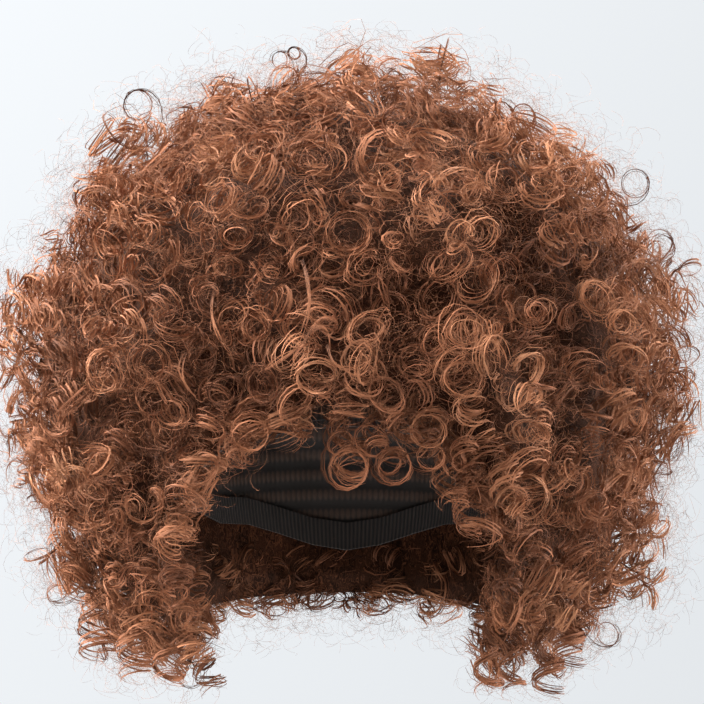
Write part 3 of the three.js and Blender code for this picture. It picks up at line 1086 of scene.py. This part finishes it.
# %% Draw the strands
STRANDS = np.array([
    [(-17, -8), (-10, -26), (-19, -41)],
    [(-13, -33), (-18, -43), (-31, -50)],
    [(-16, -37), (-6, -27), (-6, -42)],
    [(-7, -40), (-4, -52), (5, -48)],
    [(-51, -20), (-54, -33), (-44, -44)],
    [(-62, -44), (-66, -54), (-58, -61)],
])
STRAND = dict(steps=14, proud=1.5, tucked=6, strips=(-0.6, -0.2, 0.2, 0.6), closing=0.5, width=0.38)
STRAND_BOW = 0.5
STRAND_TONE = dict(middle=0.56, spread=0.1)
STRAND_SLIM = (0.1, 0.85)


def strand_strips():
    """Lines, vectors across them and tones of the strands."""
    t = np.linspace(0, 1, STRAND["steps"] + 1)[:, None]
    slim = np.sin(math.pi * (STRAND_SLIM[0] + STRAND_SLIM[1] * t))
    lines, across, tones = [], [], []
    for start, through, end in STRANDS * MM:
        flat = (1 - t) ** 2 * start + 2 * t * (1 - t) * through + t**2 * end
        lift = STRAND["proud"] - STRAND["tucked"] * np.abs(2 * t[:, 0] - 1) ** 3
        line = np.stack([flat[:, 0], form_front(flat[:, 0], flat[:, 1]) - lift * MM, flat[:, 1]], axis=-1)
        beside = unit(np.cross(np.gradient(line, axis=0), -FORWARD))
        for place in STRAND["strips"]:
            bow = rng.normal(0, STRAND_BOW) * np.sin(2 * math.pi * t)
            lines.append(line + beside * (place * (1 - STRAND["closing"] * t) + bow) * MM)
            across.append(beside * STRAND["width"] * MM / 2 * slim)
            tones.append(STRAND_TONE["middle"] + rng.normal(0, STRAND_TONE["spread"]))
    return np.stack(lines), np.stack(across), np.array(tones)


strands = strand_strips()
print("strand strips:", len(strands[2]))

# %% [markdown]
# ## Frizz
#
# Fine single hairs stand out of the curls all round and make the outline soft. A blurred shell could
# suggest them, but it would look like fog from near. They are the same strips, only narrower, and each
# wanders in a loose curl of its own.

# %% Draw the frizz
FRIZZ = dict(count=17000, steps=8, start=3, length=(3, 14), radius=(2.0, 6.5), turns=(0.5, 1.15), width=0.11)
FRIZZ_SPREAD = dict(start=6, outward=(0.2, 1.2), aside=0.8, roll=(0.8, 0.3), tone=(0.35, 0.9))
FRIZZ_OPENS = 3
FRIZZ_SLIM = 0.5
FRIZZ_ROOM = 13 * MM


def frizz_lines():
    """Lines of single hairs over the whole form, the vectors across them and their tones."""
    count = FRIZZ["count"]
    ends, outs = np.concatenate([seat_ends, hem_lot[0]]), np.concatenate([seat_outs, hem_lot[1]])
    picked = rng.integers(0, len(ends), count)
    outs = outs[picked]
    starts = ends[picked] + rng.normal(0, FRIZZ_SPREAD["start"], (count, 3)) * MM - outs * FRIZZ["start"] * MM
    outward = outs * rng.uniform(*FRIZZ_SPREAD["outward"], (count, 1))
    heading = unit(outward + unit(rng.normal(size=(count, 3))) * FRIZZ_SPREAD["aside"])
    side = unit(np.cross(heading, rng.normal(size=(count, 3))))
    up = np.cross(heading, side)
    share = np.linspace(0, 1, FRIZZ["steps"] + 1)
    reach = rng.uniform(*FRIZZ["length"], (count, 1)) * MM * share
    turn = 2 * math.pi * rng.uniform(*FRIZZ["turns"], (count, 1)) * share
    turn = turn + rng.uniform(0, ANY_ANGLE, (count, 1))
    radius = rng.uniform(*FRIZZ["radius"], (count, 1)) * MM * np.minimum(1, share * FRIZZ_OPENS)
    radial = np.cos(turn)[..., None] * side[:, None] + np.sin(turn)[..., None] * up[:, None]
    lines = starts[:, None] + reach[..., None] * heading[:, None] + radius[..., None] * radial
    roll = rng.normal(*FRIZZ_SPREAD["roll"], (count, 1, 1))
    flat = np.cos(roll) * heading[:, None] + np.sin(roll) * radial
    across = flat * (FRIZZ["width"] * MM / 2 * (1 - FRIZZ_SLIM * share))[:, None]
    within = ((lines > cad_low - FRIZZ_ROOM) & (lines < cad_high + FRIZZ_ROOM)).all(axis=(1, 2))
    return lines[within], across[within], rng.uniform(*FRIZZ_SPREAD["tone"], count)[within]


frizz = frizz_lines()
print("single hairs:", len(frizz[2]))

# %% [markdown]
# ## Sections
#
# The hair is dressed section by section, as the solids are. All of it could be one mesh, but it would be
# too heavy to handle, so a section with many curls even becomes two or more pieces.

# %% Build the hair of each section
HIGHEST, LOWEST = 1, -1
crown_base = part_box("crown_hair")[0].z
nape_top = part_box("nape_hair")[1].z
PIECES = rows_of(
    "name node low high first last",
    ("crown_front_ringlets", "crown_hair", crown_base, HIGHEST, -45, 45),
    ("crown_right_ringlets", "crown_hair", crown_base, HIGHEST, 45, 135),
    ("crown_back_ringlets", "crown_hair", crown_base, HIGHEST, 135, 225),
    ("crown_left_ringlets", "crown_hair", crown_base, HIGHEST, 225, 315),
    ("fringe_ringlets", "fringe_hair", LOWEST, crown_base, -22, 22),
    ("right_cheek_ringlets", "right_hair", LOWEST, crown_base, 22, 75),
    ("right_ear_ringlets", "right_hair", LOWEST, crown_base, 75, 128),
    ("back_ringlets", "back_hair", nape_top, crown_base, 128, 232),
    ("nape_ringlets", "nape_hair", LOWEST, nape_top, 128, 232),
    ("left_ear_ringlets", "left_hair", LOWEST, crown_base, 232, 285),
    ("left_cheek_ringlets", "left_hair", LOWEST, crown_base, 285, 338),
)
SINGLE_TONES = 0.006
curl_lots = [(curls, BUNDLES) for curls in (ringlets, edge_ringlets, *placed_lots)]
curl_lots.append((deep_ringlets, BUNDLES[:2]))


def inside(points, row):
    """Which points lie between a piece's two heights and its two azimuths in degrees."""
    x, y, z = points.T
    turned = (np.degrees(np.arctan2(x, -y)) - row["first"]) % 360
    return (z >= row["low"]) & (z < row["high"]) & (turned < row["last"] - row["first"])


def dress(row):
    """One piece of hair: the ringlets, loops, strands and single hairs that belong to a section."""
    parts = []
    for curls, bundles in curl_lots:
        chosen = inside(curls["tip"], row)
        picked = {key: values[chosen] for key, values in curls.items()}
        if chosen.any():
            parts += [wind(picked, bundle) for bundle in bundles]
    for lines, across, tones in (*loops, strands, frizz):
        chosen = inside(lines[:, 0], row)
        parts.append(strip_faces(lines[chosen], across[chosen], tones[chosen], SINGLE_TONES))
    piece = mesh_piece(row["name"], parts, curl_finish)
    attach(piece, "root")
    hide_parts(row["node"])
    return piece


triangles = 0
for row in PIECES:
    piece = dress(row)
    triangles += 2 * len(piece.data.polygons)
    print(piece.name, 2 * len(piece.data.polygons))
print("triangles in all:", triangles)

# %% [markdown]
# ## Hair below the curls
#
# Between the curls the eye meets more hair, packed together and in shade. Winding all of it would take
# millions of faces, so one lumpy body of streaked hair fills the space between the cap and the curls, its
# colour painted dark to stand for that shade. It is turned like a pot: a ring of points for each step of its
# outline, then the face opening is cut with a Boolean.

# %% Place rings of points below the curls
UNDER_ROWS = dict(columns=96, outer=30, inner=18, span=(0.02, 0.95))
UNDER = dict(depth=23, lump=4.5, hem_rise=13, clear=1.5)
INSIDE = dict(dome=107, wall=0.35, hem=0.925, widening=0.075, rest=0.66)


def outer_rings(azimuth):
    """Rings of points down the outside, with lumps where the curls have tufts."""
    rings = []
    for down in np.linspace(*UNDER_ROWS["span"], UNDER_ROWS["outer"]):
        level = np.full(len(azimuth), down)
        place = form_point(azimuth, level)
        lump = tuft(place) * UNDER["lump"] - UNDER["depth"]
        rings.append(place + form_normal(azimuth, level) * lump[:, None] * MM)
    return rings


def inner_rings(azimuth):
    """Rings of points up the inside: a wall that widens from the hem, then a dome just clear of the cap."""
    cap_low, cap_high = (np.array(corner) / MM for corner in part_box("cap"))
    half_x = cap_high[0] + UNDER["clear"]
    half_y = (cap_high[1] - cap_low[1]) / 2 + UNDER["clear"]
    middle_y = (cap_high[1] + cap_low[1]) / 2
    top = cap_high[2] + UNDER["clear"]
    bottom = form_height[-1] / MM + UNDER["hem_rise"]
    widest = top - INSIDE["dome"]
    rings = []
    for turn in np.linspace(0, 1, UNDER_ROWS["inner"]):
        if turn < INSIDE["wall"]:
            height = bottom + (widest - bottom) * turn / INSIDE["wall"]
            share = INSIDE["hem"] + INSIDE["widening"] * turn / INSIDE["wall"]
        else:
            slope = math.pi / 2 * (turn - INSIDE["wall"]) / INSIDE["rest"]
            height = widest + (top - widest) * math.sin(slope)
            share = math.cos(slope)
        x = share * half_x * np.sin(azimuth)
        y = middle_y - share * half_y * np.cos(azimuth)
        rings.append(np.stack([x, y, np.full(len(azimuth), height)], axis=-1) * MM)
    return rings


under_around = np.linspace(0, 2 * math.pi, UNDER_ROWS["columns"], endpoint=False)
under_rings = np.stack(outer_rings(under_around) + inner_rings(under_around))
print("rings below the curls:", len(under_rings))

# %% Turn the rings into a closed mesh
def outward_mesh(name, vertices, faces):
    """A mesh whose faces all look outward, which a Boolean needs."""
    mesh = bpy.data.meshes.new(name)
    mesh.from_pydata(vertices, [], faces)
    shell = bmesh.new()
    shell.from_mesh(mesh)
    bmesh.ops.recalc_face_normals(shell, faces=shell.faces)
    shell.to_mesh(mesh)
    shell.free()
    return mesh


def lay_map(mesh, place_of):
    """Gives a mesh the hair's map, from a function of a face and one of its vertices."""
    layer = mesh.uv_layers.new(name=MAP_NAME)
    for face in mesh.polygons:
        for loop, vertex in zip(face.loop_indices, face.vertices):
            layer.data[loop].uv = place_of(face, vertex)


def turned_mesh(name, rings):
    """A closed mesh from rings of points, with its map."""
    count, columns = rings.shape[:2]

    def place_of(face, vertex):
        row, column = divmod(vertex, columns)
        if column == 0 and any(other % columns == columns - 1 for other in face.vertices):
            column = columns
        return column / columns, row / count

    mesh = outward_mesh(name, rings.reshape(-1, 3).tolist(), ring_faces(count, columns, turned_round=True))
    lay_map(mesh, place_of)
    return mesh


under_hair = add_object("under_hair", turned_mesh("under_hair", under_rings))
print("hair below the curls: faces", len(under_hair.data.polygons))

# %% Cut the face opening
BLOCK = dict(beside=17, above=8, front=-0.25, back=0.0, map_scale=3)


def opening_block():
    """A block the shape of the face opening, grown by margins, that runs from in front to the middle."""
    grown = grown_edge(BLOCK["beside"], BLOCK["above"])
    vertices = [(x, y, z) for y in (BLOCK["front"], BLOCK["back"]) for x, z in grown]
    mesh = outward_mesh("opening_block", vertices, ring_faces(2, len(grown)))

    def place_of(face, vertex):
        x, y, z = mesh.vertices[vertex].co
        return (x + z) * BLOCK["map_scale"] % 1, -y * BLOCK["map_scale"]

    lay_map(mesh, place_of)
    return add_object("opening_block", mesh)


block = opening_block()
cut = under_hair.modifiers.new("face opening", "BOOLEAN")
cut.operation = "DIFFERENCE"
cut.solver = "EXACT"
cut.object = block
cut_mesh = bpy.data.meshes.new_from_object(under_hair.evaluated_get(bpy.context.evaluated_depsgraph_get()))
under_hair.modifiers.clear()
under_hair.data = cut_mesh
bpy.data.objects.remove(block)
cut_mesh.shade_smooth()
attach(under_hair, "root")
print("cut: faces", len(cut_mesh.polygons))

# %% [markdown]
# ## Finish of the hair below the curls
#
# This hair is painted dark as shade and hardly shines, but it is curled too. Plain streaks would look
# combed, so cells of a Voronoi pattern, bent by noise, stand for its curls, and the streak group runs round
# each of them.

# %% Finish the hair below the curls
# Painted shade: far darker than the curls' own brown, for the shadow deep in the hair.
UNDER_SHADE_TONES = [
    (0.0, (0.006, 0.0022, 0.0011)),
    (0.6, (0.028, 0.0095, 0.0044)),
    (1.0, (0.085, 0.0300, 0.0140)),
]
UNDER_CURLS = dict(around=52, down=32, stray=3, bent=0.55, cells=2.2)


def under_material():
    """Hair in small curls, streaked round each, painted dark as shade."""
    material, tree, shader = new_material("shaded hair")
    scale = (UNDER_CURLS["around"], UNDER_CURLS["down"], 1)
    place = add_node(tree, "Mapping", {"Vector": hair_map(tree), "Scale": scale}).outputs["Vector"]
    feeds = {"Vector": place, "Scale": UNDER_CURLS["stray"]}
    stray = add_node(tree, "TexNoise", feeds, noise_dimensions="2D").outputs["Color"]
    feeds = {"Factor": UNDER_CURLS["bent"], "A": place, "B": stray}
    bent = add_node(tree, "Mix", feeds, data_type="VECTOR").outputs["Result"]
    feeds = {"Vector": bent, "Scale": UNDER_CURLS["cells"]}
    curls = add_node(tree, "TexVoronoi", feeds, voronoi_dimensions="2D").outputs
    streak = place_streaks(tree, curls["Distance"], curls["Color"], fineness=14, length=9)
    feed(tree, shader, {"Base Color": colour_along(tree, streak, UNDER_SHADE_TONES)})
    lay_fibres(tree, shader, streak, roughness=0.6, strength=1.0, shine=0.06)
    return material


cut_mesh.materials.clear()
cut_mesh.materials.append(under_material())
print("finish:", cut_mesh.materials[0].name)

# %% [markdown]
# ## Cap and band
#
# The cap is a net with rows of sewn hair, and the band is a strip of ribbed elastic inside its rim. Every
# thread could be modelled, but both lie in the shade. They keep their solids, which have the right shape,
# and only get a finish. The rows run round the cap, so they follow its height. The ribs of the elastic
# stand upright, so they follow the angle round the head.

# %% Finish the cap and the band
CLOTH = dict(dark_at=0.25, light_at=0.75, roughness=0.8, strength=0.8, relief=0.6 * MM)
WEFT_ROW = 9 * MM
NET_MESH = math.radians(1.6)
NET_STITCH = (0.6, 0.5)
RIB = math.radians(1.2)


def ripple(tree, value, period):
    """A smooth wave from 0 to 1 with a period."""
    wave = calculate(tree, "SINE", calculate(tree, "MULTIPLY", value, 2 * math.pi / period))
    return calculate(tree, "MULTIPLY_ADD", wave, 0.5, 0.5)


def round_ripple(tree, place, period):
    """A wave round the head."""
    return ripple(tree, calculate(tree, "ARCTAN2", place["X"], place["Y"]), period)


def net(tree, place):
    """Rows of sewn hair, broken by the stitches of the net."""
    stitches = calculate(tree, "MULTIPLY_ADD", round_ripple(tree, place, NET_MESH), *NET_STITCH)
    return calculate(tree, "MULTIPLY", ripple(tree, place["Z"], WEFT_ROW), stitches)


def ribs(tree, place):
    """Upright ribs."""
    return round_ripple(tree, place, RIB)


def cloth_material(name, dark, light, pattern):
    """Cloth between two colours, coloured and raised by a pattern, a function of the place on it."""
    material, tree, shader = new_material(name)
    value = pattern(tree, object_place(tree))
    colour = colour_along(tree, value, [(CLOTH["dark_at"], dark), (CLOTH["light_at"], light)])
    relief = {"Height": value, "Strength": CLOTH["strength"], "Distance": CLOTH["relief"]}
    normal = add_node(tree, "Bump", relief).outputs["Normal"]
    feed(tree, shader, {"Base Color": colour, "Roughness": CLOTH["roughness"], "Normal": normal})
    return material


cap_finish = cloth_material("cap net", (0.010, 0.006, 0.004), (0.050, 0.026, 0.016), net)
band_finish = cloth_material("ribbed elastic", (0.008, 0.006, 0.005), (0.035, 0.024, 0.019), ribs)
for node, finish in (("cap", cap_finish), ("edge_band", band_finish)):
    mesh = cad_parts[node].data
    mesh.materials.clear()
    mesh.materials.append(finish)
print("finishes:", cap_finish.name, band_finish.name)
